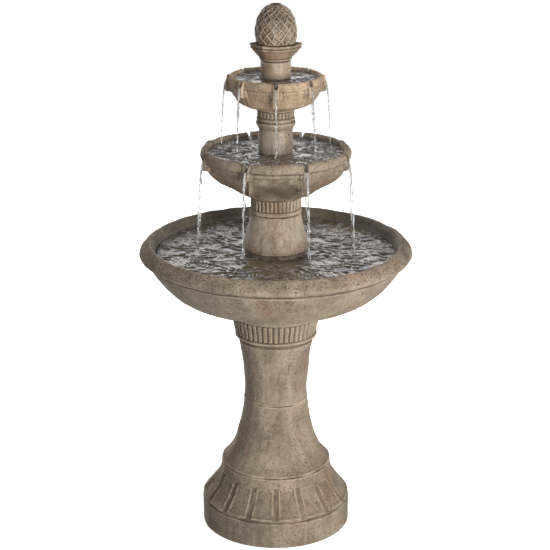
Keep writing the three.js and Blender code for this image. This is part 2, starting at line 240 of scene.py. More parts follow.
def casting(name, body, outline, steps, relief=None, shape=None, wet=None, seed=1, lumps=1.0,
            tone_and_shade=1.0, sandy=None, warm=False, closed=True):
    """A turned casting. relief(angle, radius, height) is how far the surface stands out.

    shape(angle, radius, height) moves whole sections, wet(...) says where water runs and where
    painted shade and painted highlight streaks go, sandy(...) where coarse sand shows, and
    tone_and_shade is how light the stone is, its own tone with painted shade and painted highlight
    in places, as a number or a function too.
    """
    line = np.array(outline, float)
    ahead = np.roll(line, -1, 0) - np.roll(line, 1, 0)
    if not closed:
        ahead[0] = line[1] - line[0]
        ahead[-1] = line[-1] - line[-2]
    length = np.hypot(ahead[:, 0], ahead[:, 1])
    out_r = (ahead[:, 1] / length)[:, None]
    out_z = (-ahead[:, 0] / length)[:, None]
    angle, radius, height = turned(line, steps)
    raised = relief(angle, radius, height) if relief else np.zeros_like(radius)
    r = radius + out_r * raised
    z = height + out_z * raised
    if shape:
        angle, r, z = shape(angle, r, z)
    grid = place_of(angle, r, z)
    rough = lumps * (waves(grid, 70, 0.5, seed) + waves(grid, 19, 0.22, seed + 1)
                     + waves(grid, 7, 0.12, seed + 2))
    rough -= lumps * 0.5 * np.clip(waves(grid, 8, 1, seed + 3) - 1.1, 0, 1)
    rough *= smooth(z, -1, 6)
    outward = place_of(angle, out_r, out_z + 0 * angle)
    grid = grid + outward * rough[..., None]
    worn = np.clip(0.5 + 1.3 * blurred(convexity(grid, closed)), 0, 1)
    grime = blurred(np.clip(-raised / 3, 0, 1))
    damp = wet(angle, r, z) if wet else np.zeros_like(r)
    light = (tone_and_shade(angle, r, z) if callable(tone_and_shade) else tone_and_shade) * np.ones_like(r)
    sand = sandy(angle, r, z) if sandy else np.zeros_like(r)
    attributes = {"worn": worn.ravel(), "grime": grime.ravel(), "wet": damp.ravel(),
                  "tone_and_shade": light.ravel(), "sand": sand.ravel()}
    vertices = grid.reshape(-1, 3)
    faces = grid_faces(len(line), steps, closed)
    if not closed:
        count = len(vertices)
        poles = np.array([[0, 0, line[0, 1]], [0, 0, line[-1, 1]]])
        vertices = np.concatenate([vertices, poles])
        last = count - steps
        for j in range(steps):
            k = (j + 1) % steps
            faces.append((k, j, count))
            faces.append((last + j, last + k, count + 1))
        attributes = {key: np.append(v, v[[0, -1]]) for key, v in attributes.items()}
    material = WARM_STONE if warm else STONE
    return make_object(name, vertices, faces, attributes, body, material)


# -------- shader helpers

def set_inputs(node, **values):
    """Sets a node's inputs by name, with _ for a space."""
    for key, value in values.items():
        node.inputs[key.replace("_", " ")].default_value = value


class Shader:
    """A material's node tree, with short calls for the nodes used below."""

    def __init__(self, name):
        self.material = bpy.data.materials.new(name)
        self.material.use_nodes = True
        self.tree = self.material.node_tree
        self.surface = self.tree.nodes["Principled BSDF"]
        self.place = self.node("ShaderNodeTexCoord").outputs["Object"]

    def node(self, kind, **settings):
        made = self.tree.nodes.new(kind)
        for key, value in settings.items():
            setattr(made, key, value)
        return made

    def put(self, socket, value):
        if isinstance(value, bpy.types.NodeSocket):
            self.tree.links.new(value, socket)
        else:
            socket.default_value = value

    def set(self, **values):
        """Principled sockets by name, with _ for a space."""
        for key, value in values.items():
            self.put(self.surface.inputs[key.replace("_", " ")], value)

    def attribute(self, name):
        return self.node("ShaderNodeAttribute", attribute_name=name).outputs["Fac"]

    def stretched(self, x, y, z):
        """The object's place, scaled along each axis."""
        made = self.node("ShaderNodeVectorMath", operation="MULTIPLY")
        self.put(made.inputs[0], self.place)
        made.inputs[1].default_value = (x, y, z)
        return made.outputs[0]

    def noise(self, scale, detail=4, rough=0.55, twist=0.0, place=None):
        made = self.node("ShaderNodeTexNoise")
        self.put(made.inputs["Vector"], place or self.place)
        set_inputs(made, Scale=scale, Detail=detail, Roughness=rough, Distortion=twist)
        return made.outputs["Fac"]

    def cells(self, scale):
        made = self.node("ShaderNodeTexVoronoi")
        self.put(made.inputs["Vector"], self.place)
        set_inputs(made, Scale=scale)
        return made.outputs["Distance"]

    def ramp(self, value, low, high, to_low=0.0, to_high=1.0):
        made = self.node("ShaderNodeMapRange", interpolation_type="SMOOTHSTEP")
        self.put(made.inputs["Value"], value)
        set_inputs(made, From_Min=low, From_Max=high, To_Min=to_low, To_Max=to_high)
        return made.outputs["Result"]

    def maths(self, operation, a, b):
        made = self.node("ShaderNodeMath", operation=operation)
        self.put(made.inputs[0], a)
        self.put(made.inputs[1], b)
        return made.outputs[0]

    def plus(self, a, b):
        return self.maths("ADD", a, b)

    def times(self, a, b):
        return self.maths("MULTIPLY", a, b)

    def larger(self, a, b):
        return self.maths("MAXIMUM", a, b)

    def mix(self, share, a, b, kind="MIX"):
        made = self.node("ShaderNodeMix", data_type="RGBA", blend_type=kind)
        self.put(made.inputs[0], share)
        self.put(made.inputs[6], a)
        self.put(made.inputs[7], b)
        return made.outputs[2]

    def layer(self, body, mask, share, coat):
        """The body colour with a coat over it where mask is high, share thick at most."""
        return self.mix(self.times(mask, share), body, coat)

    def grey(self, value):
        made = self.node("ShaderNodeCombineColor")
        for socket in made.inputs:
            if socket.name in ("Red", "Green", "Blue"):
                self.put(socket, value)
        return made.outputs[0]

    def bump(self, height, distance, strength):
        made = self.node("ShaderNodeBump")
        self.put(made.inputs["Height"], height)
        set_inputs(made, Distance=distance, Strength=strength)
        return made.outputs["Normal"]


def colour(red, green, blue):
    """A colour picked on screen (0 to 255), as the linear value a shader takes."""
    def linear(v):
        v /= 255
        return v / 12.92 if v <= 0.04045 else ((v + 0.055) / 1.055) ** 2.4
    return (linear(red), linear(green), linear(blue), 1)


# -------- materials

def stone(name, tan, taupe, rust):
    """Weathered cast stone: mottled, pitted, dusty on its edges and dark in its hollows."""
    s = Shader(name)
    streaks = s.noise(1, place=s.stretched(48, 48, 3.5))
    patches = s.noise(11, detail=5, rough=0.6, twist=0.4)
    body = s.mix(s.ramp(patches, 0.36, 0.62), taupe, tan)
    body = s.layer(body, s.ramp(s.noise(7), 0.52, 0.68), 0.6, rust)
    algae = s.noise(9.5, detail=5, twist=0.8)
    body = s.layer(body, s.ramp(algae, 0.56, 0.7), 0.5, colour(118, 112, 90))
    body = s.layer(body, s.ramp(streaks, 0.52, 0.68), 0.4, colour(98, 80, 65))
    body = s.layer(body, s.ramp(streaks, 0.46, 0.34), 0.3, colour(190, 176, 160))
    mottle = s.noise(120, detail=5, rough=0.7)
    body = s.layer(body, s.ramp(mottle, 0.54, 0.68), 0.5, colour(96, 80, 64))
    body = s.layer(body, s.ramp(mottle, 0.46, 0.34), 0.3, colour(198, 182, 160))
    sandy_patches = s.ramp(s.noise(13), 0.42, 0.6, 0.25, 0.8)
    sandy = s.larger(sandy_patches, s.attribute("sand"))
    grain = s.noise(260, rough=0.65)
    body = s.layer(body, s.ramp(grain, 0.54, 0.62), sandy, colour(66, 52, 41))
    body = s.layer(body, s.ramp(grain, 0.4, 0.32), 0.3, colour(212, 196, 174))
    pits = s.ramp(s.cells(210), 0.16, 0.05)
    pits = s.times(pits, s.ramp(s.noise(16), 0.44, 0.6))
    body = s.layer(body, pits, 0.75, colour(62, 48, 38))
    worn = s.attribute("worn")
    dust = s.times(s.ramp(worn, 0.56, 0.9), s.ramp(s.noise(60), 0.3, 0.6))
    body = s.layer(body, dust, 0.75, colour(202, 184, 160))
    hollow = s.larger(s.ramp(worn, 0.44, 0.16), s.attribute("grime"))
    body = s.layer(body, hollow, 0.72, colour(60, 45, 34))
    wet = s.attribute("wet")
    body = s.mix(s.ramp(wet, 0.3, 1, 0, 0.62), body, colour(58, 44, 34))
    # Painted highlight: pale streaks where a thin water film runs, wet from about 0.1 to 0.6.
    film = s.times(s.ramp(wet, 0.1, 0.3), s.ramp(wet, 0.6, 0.4))
    painted_highlight_streaks = s.ramp(s.noise(1, place=s.stretched(70, 70, 4)), 0.48, 0.6)
    body = s.layer(body, s.times(film, painted_highlight_streaks), 0.35, colour(196, 184, 170))
    s.set(Base_Color=s.mix(1.0, body, s.grey(s.attribute("tone_and_shade")), "MULTIPLY"))
    s.set(Roughness=s.ramp(wet, 0, 0.5, 0.78, 0.28), Specular_IOR_Level=0.5)
    relief = s.plus(s.times(mottle, 0.6), s.times(grain, 0.4))
    relief = s.plus(relief, s.times(pits, -0.7))
    s.set(Normal=s.bump(relief, 0.0022, 0.8))
    return s.material


def water(name):
    """Moving water: dark where it shows the stone below, with a painted highlight on the ripples'
    crests.
    """
    s = Shader(name)
    crest = s.attribute("crest")
    foam = s.attribute("foam")
    flecks = s.noise(95, rough=0.6, twist=0.6)
    deep = s.mix(s.ramp(s.noise(14), 0.35, 0.65), colour(78, 66, 52), colour(118, 104, 84))
    # Painted highlight: pale colour on the ripple crests.
    painted_crest_highlight = s.ramp(s.plus(crest, s.times(flecks, 0.4)), 0.66, 1.0)
    body = s.layer(deep, painted_crest_highlight, 0.36, colour(204, 197, 204))
    body = s.mix(foam, body, colour(226, 224, 222))
    s.set(Base_Color=body, Roughness=0.06, IOR=2.0, Normal=s.bump(flecks, 0.002, 0.5))
    return s.material


def falling_water(name):
    """Clear water in thin strands and drops."""
    s = Shader(name)
    s.set(Base_Color=s.mix(s.ramp(s.noise(160, detail=3), 0.4, 0.65),
                           colour(190, 189, 188), colour(250, 250, 250)))
    s.set(Roughness=0.06, IOR=1.33, Transmission_Weight=0.45)
    s.set(Normal=s.bump(s.noise(220, detail=3), 0.001, 0.5))
    return s.material


def moulded(name, low, high, roughness, grain=900, wear=0.35):
    """Moulded plastic, rubber or ceramic, with fine grain, scuffs and lime spots."""
    s = Shader(name)
    body = s.mix(s.noise(45, detail=5), low, high)
    scuffs = s.ramp(s.noise(1, place=s.stretched(420, 420, 60)), 0.6, 0.75)
    lime = s.ramp(s.noise(130, detail=5, rough=0.7), 0.62, 0.74)
    body = s.layer(body, scuffs, wear, colour(150, 146, 140))
    body = s.layer(body, lime, wear * 0.7, colour(178, 172, 160))
    s.set(Base_Color=body, Roughness=s.ramp(lime, 0, 1, roughness, min(1, roughness + 0.3)))
    s.set(Normal=s.bump(s.noise(grain, detail=3), 0.0006, 0.5))
    return s.material


def sponge(name):
    """Open-cell foam with painted shade in its holes."""
    s = Shader(name)
    # Painted shade: near black in the holes.
    holes = s.ramp(s.cells(520), 0.35, 0.12)
    body = s.mix(s.noise(60, detail=5), colour(52, 54, 50), colour(86, 86, 78))
    s.set(Base_Color=s.layer(body, holes, 0.85, colour(18, 18, 16)), Roughness=0.95)
    s.set(Normal=s.bump(s.times(holes, -1), 0.002, 1.0))
    return s.material


STONE = stone("stone", tan=colour(168, 151, 130), taupe=colour(134, 118, 101),
              rust=colour(148, 117, 92))
WARM_STONE = stone("warm_stone", tan=colour(180, 155, 127), taupe=colour(150, 127, 103),
                   rust=colour(168, 127, 94))
WATER = water("pool_water")
FALLING = falling_water("falling_water")


# -------- pedestal

def flutes(angle, radius, height, count, low, high, groove, depth, inner):
    """Upright tongues with rounded ends, a groove `groove` wide between them."""
    across = np.radians(off_nearest(angle, count, 0)) * radius
    half_width = math.pi * radius / count - groove / 2
    outside = panel_distance(across, height - (low + high) / 2, half_width, (high - low) / 2,
                             half_width * 0.9)
    swell = 0.5 * smooth(-outside, 0, 3)
    sunk = depth * smooth(outside, -0.8, 0.7) * band(height, low - 0.5, high + 0.5, 1.5)
    near = (radius > inner) & (height > low - 3) & (height < high + 3)
    return np.where(near, swell - sunk, 0)


def pedestal_base():
    apron_low, apron_high = 68, 127
    panels = 16
    panel_half_angle = 8.9

    def relief(angle, radius, height):
        on_apron = band(height, apron_low - 2, apron_high + 1, 1.5) * (radius > 128)
        across = np.radians(off_nearest(angle, panels, 360 / panels / 2)) * radius
        half_width = np.radians(panel_half_angle) * radius
        outside = panel_distance(across, height - (apron_low + apron_high) / 2, half_width,
                                 (apron_high - apron_low) / 2 + 1, 3)
        rib = 1.2 * bump(outside, -2.3, 2.0)
        sunk = 0.5 * smooth(-outside, 4, 7)
        depth = 1.7 + waves(place_of(angle, radius, height), 90, 0.35, 13)
        return on_apron * (rib - sunk - depth * smooth(outside, -0.8, 2.2))

    def shape(angle, radius, height):
        across = np.abs(np.radians(off_nearest(angle, 1, 180)) * radius)
        return angle, radius, raised_to(height, CORD_NOTCH_TOP, across, CORD_NOTCH_WIDTH / 2)

    def tone_and_shade(angle, radius, height):
        return 0.86 + 0.14 * smooth(height, 40, 110)

    outline = trace(
        (170.5, 0),
        (run, 2, (172.6, 3)),
        (run, 2.7, (172.6, 56.5)),
        (run, 1.2, (171.8, 59.6), (169.4, 61), (169.2, 62.4), (171, 64.2), (170.9, 67.5),
         (168.8, 70)),
        (curve, 1.9, (164, 75), (158, 82.5), (150, 92.5), (143, 102), (137, 113), (131.6, 124),
         (129.2, 133), (127.6, 144), (126.8, 149.5)),
        (run, 1.2, (124.2, 151), (124, 152.4), (126.6, 154), (126.4, 156.6), (122.5, 159.4)),
        (curve, 2.6, (117, 165), (112, 171.5), (104, 184), (94, 208), (87, 231), (81.5, 252),
         (77.5, 274), (75, 292), (74, BASE_TOP - GAP)),
        (run, 3, (64, BASE_TOP - GAP)),
        (run, 12, (64, BASE_TOP - 20), (80, 215), (108, 158), (160.5, 66), (160.5, 0)),
        (run, 5, (170.5, 0)),
    )
    piece = casting("stone_pedestal_base", "pedestal", outline, 448, relief, shape, seed=11,
                    tone_and_shade=tone_and_shade)
    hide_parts("pedestal_base")


def pedestal_shaft():
    spigot = 63.6

    def relief(angle, radius, height):
        under_ring = 2.4 * band(height, 455.6, 463, 0.8) * (radius > 80)
        tongues = flutes(angle, radius, height, count=48, low=472.5, high=512, groove=3.6,
                         depth=2.6, inner=88)
        return tongues - under_ring

    outline = trace(
        (spigot, BASE_TOP - SOCKET_DEPTH),
        (run, 4, (spigot, BASE_TOP)),
        (run, 1.5, (72.4, BASE_TOP), (73.8, 310.2), (73.9, 312.6), (72.7, 314.4)),
        (curve, 2.6, (72.4, 334), (73.4, 357), (75, 379), (77.2, 404), (80, 424), (82.4, 437),
         (84.6, 446)),
        (run, 1.2, (85.8, 450.4), (85.8, 453.4), (85.2, 454.6), (84.8, 463.4), (86.6, 464.4),
         (93.2, 465.2), (94.6, 466.8), (94.6, 468.8), (93.4, 470.4)),
        (curve, 1.5, (93.4, 474), (94, 482), (96.5, 493), (99.6, 508), (100.8, 514)),
        (curve, 2.2, (103, 527), (105.4, BASIN_SEAT - GAP)),
        (run, 4, (86, BASIN_SEAT - GAP)),
        (run, 10, (86, 522), (76, 450), (61, 345), (56, BASE_TOP),
         (56, BASE_TOP - SOCKET_DEPTH)),
        (run, 4, (spigot, BASE_TOP - SOCKET_DEPTH)),
    )
    piece = casting("stone_pedestal_shaft", "pedestal", outline, 504, relief, seed=21)
    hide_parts("pedestal_shaft")


# -------- basin

def basin():
    roll_edge = 653

    def relief(angle, radius, height):
        lip = band(height, 660, 690, 3) * (radius > 276)
        undercut = 2.0 * band(height, roll_edge - 6, roll_edge - 1.5, 1.0)
        undercut = undercut * (radius > 285) * (radius < 295)
        return lip * waves(place_of(angle, radius, height), 45, 0.35, 5) - undercut

    def wet(angle, radius, height):
        wall = np.interp(height, (BASIN_FLOOR, 577, 605, 640, 668, 690),
                         (160, 205, 238, 262, 274, 284))
        inside = (radius < wall + 4) & (height > BASIN_FLOOR - 2)
        return np.where(inside, 1 - 0.8 * smooth(height, BASIN_WATER + 1, BASIN_WATER + 6), 0)

    def tone_and_shade(angle, radius, height):
        # Painted shade: the rim is darker towards its sides and at the far left.
        rim_side_painted_shade = smooth(np.abs(off_nearest(angle, 1, 0)), 35, 75)
        rim = smooth(height, roll_edge, roll_edge + 7)
        inner = (radius < 283) & (height > BASIN_WATER - 10)
        far_left_painted_shade = bump(off_nearest(angle, 1, -90), 0, 20)
        # Painted highlight: a pale line along the rim's outer edge.
        edge = 0.3 * band(height, roll_edge + 3, roll_edge + 8, 1.0) * (radius > 300)
        # Painted shadow: a dark band in the groove under the rim's roll.
        groove = 0.25 * band(height, roll_edge - 4.5, roll_edge, 1.0)
        groove = groove * (radius > 285) * (radius < 297)
        shade = (0.27 * rim_side_painted_shade + 0.2 * far_left_painted_shade) * rim + groove
        return (1.07 + edge - shade) * np.where(inner, 0.5, 1.0)

    def sandy(angle, radius, height):
        return (radius > 280) * smooth(height, roll_edge + 2, roll_edge + 5)

    outline = trace(
        (1.5, BASIN_FLOOR - 11),
        (run, 12, (74, BASIN_FLOOR - 11)),
        (run, 6, (74, BASIN_SEAT - SOCKET_DEPTH), (85.4, BASIN_SEAT - SOCKET_DEPTH),
         (85.4, BASIN_SEAT)),
        (run, 5, (106, BASIN_SEAT)),
        (curve, 3.6, (110, 545.4), (150, 550.5), (193, 557.5), (210, 563.5), (226, 572),
         (246, 588), (263, 606.5), (280, 628.5), (289, 643)),
        (run, 1.1, (293.4, 651), (295.6, 653.6), (300, 655.8), (303.6, 657), (305.6, 658.8)),
        (curve, 2.1, (308, 661.4), (309, 665), (307.5, 670), (303, 676), (297, 681.5),
         (291, 686), (286, 687.4), (281, 685.5), (277, 680), (274.5, 673)),
        (curve, 5, (270, 658), (262, 640), (238, 605), (205, 577), (160, BASIN_FLOOR)),
        (run, 22, (1.5, BASIN_FLOOR)),
    ) + [(1.5, BASIN_FLOOR)]
    piece = casting("stone_basin", "basin_set", outline, 512, relief, wet=wet, seed=31, lumps=0.7,
                    tone_and_shade=tone_and_shade, sandy=sandy, closed=False)
    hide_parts("basin")


# -------- columns

def middle_column():
    socket = 40.5
    foot_edge = 673

    def relief(angle, radius, height):
        return flutes(angle, radius, height, count=36, low=768, high=793, groove=3.4, depth=1.9,
                      inner=50)

    def wet(angle, radius, height):
        # Below 750 the column is glossy, with painted highlight streaks.
        return np.maximum(0.34 * (height < 750), 1 - smooth(height, BASIN_WATER, BASIN_WATER + 2))

    def shape(angle, radius, height):
        across = np.abs(np.radians(off_nearest(angle, 4, 45)) * radius)
        return angle, radius, raised_to(height, WATER_WAY_TOP, across, WATER_WAY_WIDTH / 2)

    def tone_and_shade(angle, radius, height):
        # Painted shadow in the recess under the foot's lip.
        return np.where((radius < 73) & (height < foot_edge), 0.5, 1.06)

    outline = trace(
        (71, BASIN_FLOOR + GAP),
        (run, 10, (71, 650)),
        (run, 1.6, (71, 672), (74.4, 673.6), (76, 676), (75.8, 681)),
        (curve, 2.2, (73, 691), (67.6, 707), (62, 727), (58, 745), (57.4, 752.5)),
        (run, 1.1, (56.6, 754.2), (54.4, 755), (54.2, 757.8), (57.8, 758.6), (58.6, 760.6),
         (58.2, 763.4)),
        (curve, 1.3, (56.8, 767.5), (56.2, 772), (56.4, 780), (57.4, 789), (59, 793)),
        (run, 1.5, (60.5, MIDDLE_SEAT - GAP)),
        (run, 12, (socket, MIDDLE_SEAT - GAP), (socket, MIDDLE_SEAT - SOCKET_DEPTH),
         (11, MIDDLE_SEAT - SOCKET_DEPTH), (11, 774), (45, 774), (46, 745), (61, 680),
         (61, BASIN_FLOOR + GAP)),
        (run, 5, (71, BASIN_FLOOR + GAP)),
    )
    piece = casting("stone_middle_column", "middle_tier", outline, 480, relief, shape, wet,
                    seed=41, lumps=0.8, tone_and_shade=tone_and_shade)
    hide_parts("middle_column")


def upper_column():
    def relief(angle, radius, height):
        return flutes(angle, radius, height, count=28, low=976.5, high=990.5, groove=2.6,
                      depth=1.3, inner=35)

    def wet(angle, radius, height):
        near_water = 1 - smooth(height, MIDDLE_WATER + 1, MIDDLE_WATER + 7)
        # Below 950 the column is glossy, with painted highlight streaks.
        return np.maximum(near_water, 0.34 * (height < 950))

    outline = trace(
        (38, MIDDLE_FLOOR + GAP),
        (run, 10, (38, 880)),
        (run, 2, (38, 944)),
        (run, 1.1, (39, 951), (41.6, 955.5), (43.8, 959.5), (44.6, 962.6), (43.8, 965.2),
         (41, 966.2), (40.6, 968.8), (42.8, 970), (43.2, 972.2), (42.2, 974.4)),
        (curve, 1.2, (41, 977), (40.8, 981), (41.3, 988), (42, 991), (43, UPPER_SEAT - GAP)),
        (run, 12, (26.5, UPPER_SEAT - GAP), (26.5, UPPER_SEAT - SOCKET_DEPTH),
         (11, UPPER_SEAT - SOCKET_DEPTH), (11, 972), (28, 972), (28, MIDDLE_FLOOR + GAP)),
        (run, 5, (38, MIDDLE_FLOOR + GAP)),
    )
    piece = casting("stone_upper_column", "upper_tier", outline, 392, relief, wet=wet, seed=51,
                    lumps=0.6, tone_and_shade=0.93)
    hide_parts("upper_column")


# -------- spouted bowls

# A bowl's spec: the angle of its first spout, the rim's radius and top, how far a spout's beak
# (reach) and the ears beside it stand out; the framed tablets' number, half width, bottom, top,
# corner, frame, height (raised), squareness (block) and narrowing downwards (taper); where the
# side starts (side_low), is flattened (faces) and ends (bar_low); the floor of a spout's channel,
# the bottom of its beak, and a line inside the wall, by height and radius (mid_wall).

def tablet_edge(spec, angle, radius, height):
    """Distance outside (+) or inside (-) the nearest tablet on a bowl's side."""
    from_face = off_nearest(angle, spec["tablets"], spec["first"] - 180 / SPOUTS)
    across = np.sin(np.radians(from_face)) * radius + 1e3 * (np.abs(from_face) > 40)
    narrower = spec["taper"] * (1 - smooth(height, spec["tablet_low"], spec["tablet_low"] + 26))
    half_width = np.minimum(spec["tablet"] - narrower, math.pi / spec["tablets"] * radius - 1.8)
    up = height - (spec["tablet_low"] + spec["tablet_high"]) / 2
    half_height = (spec["tablet_high"] - spec["tablet_low"]) / 2
    return panel_distance(across, up, half_width, half_height, spec["corner"])


def ear_distance(spec, angle, height):
    """0 in the middle of the nearest ear beside a spout, 1 at its edge."""
    from_spout = np.abs(np.radians(off_nearest(angle, SPOUTS, spec["first"]))) * spec["rim"]
    return np.hypot((from_spout - 10) / 5.6, (height - spec["beak_low"] - 8) / 9.5)


def ear_painted_shade(spec, angle, height):
    """Painted shade on the ear to the left of each spout."""
    on_left = off_nearest(angle, SPOUTS, spec["first"]) < 0
    return 0.85 * (1 - smooth(ear_distance(spec, angle, height), 0.7, 1.2)) * on_left


def wet_bowl(spec, radius, height, floor, shore):
    """1 inside the bowl up to the water's edge, easing to 0 above shore."""
    inside = (radius < np.interp(height, *spec["mid_wall"])) & (height > floor - 1)
    return inside * (1 - smooth(height, shore, shore + 5))


def bowl_relief(spec):
    """Framed tablets on the bowl's side and rounded ears hanging beside each spout."""
    def relief(angle, radius, height):
        outer = (height < spec["bar_low"] + 1) & (height > spec["side_low"])
        outer &= radius > np.interp(height, *spec["mid_wall"])
        outside = tablet_edge(spec, angle, radius, height)
        frame_edge = smooth(-outside, -1.4, 1.4)
        sunk_face = smooth(-outside, spec["frame"] - 1.2, spec["frame"] + 1.6)
        raised = spec["raised"] * (frame_edge - 0.6 * sunk_face)
        ear = spec["ear"] * np.sqrt(np.clip(1.05 - ear_distance(spec, angle, height) ** 2, 0, 1))
        return np.where(outer, np.maximum(raised, ear), 0)
    return relief


def bowl_shape(spec):
    """Flattens the side into eight faces, squares the tablets off into blocks, cuts a channel
    through the rim at each spout and draws its lip out into a drooping beak."""
    def shape(angle, radius, height):
        # Eight flat faces: the radius grows towards their corners, which stay a little round.
        wall = radius > np.interp(height, *spec["mid_wall"])
        from_face = off_nearest(angle, SPOUTS, spec["first"] + 180 / SPOUTS)
        face = 1 / np.cos(np.radians(np.minimum(np.abs(from_face), 19.5))) - 1
        low, high = spec["faces"]
        share = wall * smooth(height, low, low + 30) * (1 - smooth(height, high - 30, high))
        widen = 0.9 * share * face
        if spec["block"]:
            # A block's face is flat too, over the whole width of its tablet.
            from_middle = off_nearest(angle, spec["tablets"], spec["first"] - 180 / SPOUTS)
            square = 1 / np.cos(np.radians(np.minimum(np.abs(from_middle), 33))) - 1
            on_block = smooth(-tablet_edge(spec, angle, radius, height), -1.6, 1.6)
            on_block = on_block * wall * (1 - smooth(height, high - 34, high - 4))
            on_block = on_block * smooth(height, spec["tablet_low"], spec["tablet_low"] + 24)
            widen = np.maximum(widen, on_block * spec["block"] * square)
        radius = radius * (1 + widen)
        # At a spout the rim drops to the channel's floor, and below it the beak reaches out.
        from_spout = np.abs(np.radians(off_nearest(angle, SPOUTS, spec["first"]))) * spec["rim"]
        channel = 1 - smooth(from_spout, 3.2, 6.0)
        beak = 1 - smooth(from_spout, 5.2, 8.4)
        in_rim = (height > spec["channel"]) & (radius > spec["rim"] - 22)
        z = np.where(in_rim, height - channel * (height - spec["channel"]) * 0.94, height)
        on_lip = band(height, spec["beak_low"], spec["rim_top"] + 2, 3)
        on_lip = on_lip * smooth(radius, spec["rim"] - 16, spec["rim"] - 7)
        droop = 1 - smooth(height, spec["beak_low"] + 10, spec["rim_top"] + 2)
        out = spec["rim"] + spec["reach"] * (0.45 + 0.75 * droop)
        r = radius + beak * on_lip * np.maximum(0, out - radius) * 0.9
        return angle, r, z
    return shape


def middle_bowl():
    spec = {
        "first": MIDDLE_FIRST_SPOUT, "rim": 168.5, "reach": 5, "ear": 5, "corner": 4,
        "side_low": 806, "tablet_low": 803, "tablet_high": 881.5, "tablet": 56, "tablets": 2,
        "frame": 5.5, "raised": 2.6, "block": 0.8, "faces": (815, 886), "taper": 9,
        "bar_low": 885, "channel": 889, "beak_low": 869, "rim_top": 904.5,
        "mid_wall": ((797, 806, 812, 820, 842, 868, 893, 905),
                     (50, 68, 80, 94, 126, 149, 158, 158)),
    }

    def wet(angle, radius, height):
        inside = wet_bowl(spec, radius, height, MIDDLE_FLOOR, 896)
        on_spout = 1 - smooth(np.abs(off_nearest(angle, SPOUTS, MIDDLE_FIRST_SPOUT)), 1.5, 3.5)
        on_spout = on_spout * smooth(height, 862, 884)
        # Tablet faces darker low down, most near 836: damp patches, and painted shade on the
        # downward-facing face.
        face = smooth(-tablet_edge(spec, angle, radius, height), 5, 9) * (height < 872)
        tablet_damp_and_shade = 0.34 + 0.4 * bump(height, 836, 22)
        tablet_damp_and_shade = tablet_damp_and_shade + waves(place_of(angle, radius, height), 34, 0.13, 64)
        outer = np.maximum(face * np.clip(tablet_damp_and_shade, 0, 0.9),
                           ear_painted_shade(spec, angle, height) * (radius > 140))
        return np.maximum(np.maximum(inside, 0.8 * on_spout), np.where(inside > 0, 0, outer))

    low = MIDDLE_SEAT - SOCKET_DEPTH + 2
    outline = trace(
        (14, MIDDLE_FLOOR),
        (run, 8, (14, low), (40, low), (40, MIDDLE_SEAT)),
        (run, 5, (60.5, MIDDLE_SEAT)),
        (curve, 1.9, (84, 806), (96, 814), (108, 823), (121.6, 832), (132, 840), (141, 848.5),
         (150, 860), (157.5, 871), (162.5, 880), (163.4, 884)),
        (curve, 1.5, (167, 886), (168.9, 890.5), (168.2, 897), (165, 902), (160, 904.6),
         (154.5, 903.2), (152.2, 899), (151.2, 893)),
        (curve, 4, (142, 868), (118, 842), (84, 820), (60, MIDDLE_FLOOR)),
        (run, 9, (14, MIDDLE_FLOOR)),
    )
    piece = casting("stone_middle_bowl", "middle_tier", outline, 560, bowl_relief(spec),
                    bowl_shape(spec), wet, seed=61, tone_and_shade=0.88)
    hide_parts("middle_bowl")


def upper_bowl():
    spec = {
        "first": UPPER_FIRST_SPOUT, "rim": 105, "reach": 6.5, "ear": 4.6, "corner": 6,
        "side_low": 1003, "tablet_low": 1009, "tablet_high": 1048, "tablet": 30, "tablets": 8,
        "frame": 4.5, "raised": 1.0, "block": 0, "faces": (998, 1054), "taper": 0,
        "bar_low": 1052, "channel": 1057, "beak_low": 1034, "rim_top": 1068.5,
        "mid_wall": ((994, 1004, 1009, 1019, 1039, 1056, 1069), (30, 58, 64, 77, 91, 96, 96)),
    }

    def wet(angle, radius, height):
        inside = wet_bowl(spec, radius, height, UPPER_FLOOR, 1060.5)
        on_spout = 1 - smooth(np.abs(off_nearest(angle, SPOUTS, UPPER_FIRST_SPOUT)), 2, 4.5)
        on_spout = on_spout * smooth(height, 1030, 1052)
        # The spouts' wet lips, and painted shade on the ears.
        spout_wet_and_ear_shade = np.maximum(0.7 * on_spout, ear_painted_shade(spec, angle, height) * (radius > 90))
        return np.maximum(inside, spout_wet_and_ear_shade)

    low = UPPER_SEAT - SOCKET_DEPTH + 2
    outline = trace(
        (14, UPPER_FLOOR),
        (run, 7, (14, low), (26, low), (26, UPPER_SEAT)),
        (run, 5, (43, UPPER_SEAT)),
        (curve, 1.5, (68, 1002.4), (77, 1006.5), (82.5, 1011.5), (86, 1020), (90.5, 1028.7),
         (96, 1037), (100.6, 1045.5), (102.6, 1050.4)),
        (curve, 1.3, (104.4, 1053.8), (105.3, 1058), (104.4, 1063.5), (101.6, 1067.2),
         (98, 1068.6), (94.4, 1067), (92.4, 1062.5)),
        (curve, 3.2, (91, 1056), (84, 1039), (70, 1019), (46, UPPER_FLOOR)),
        (run, 8, (14, UPPER_FLOOR)),
    )
    piece = casting("stone_upper_bowl", "upper_tier", outline, 480, bowl_relief(spec),
                    bowl_shape(spec), wet, seed=71, lumps=0.8, tone_and_shade=1.2, warm=True)
    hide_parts("upper_bowl")


# -------- finial

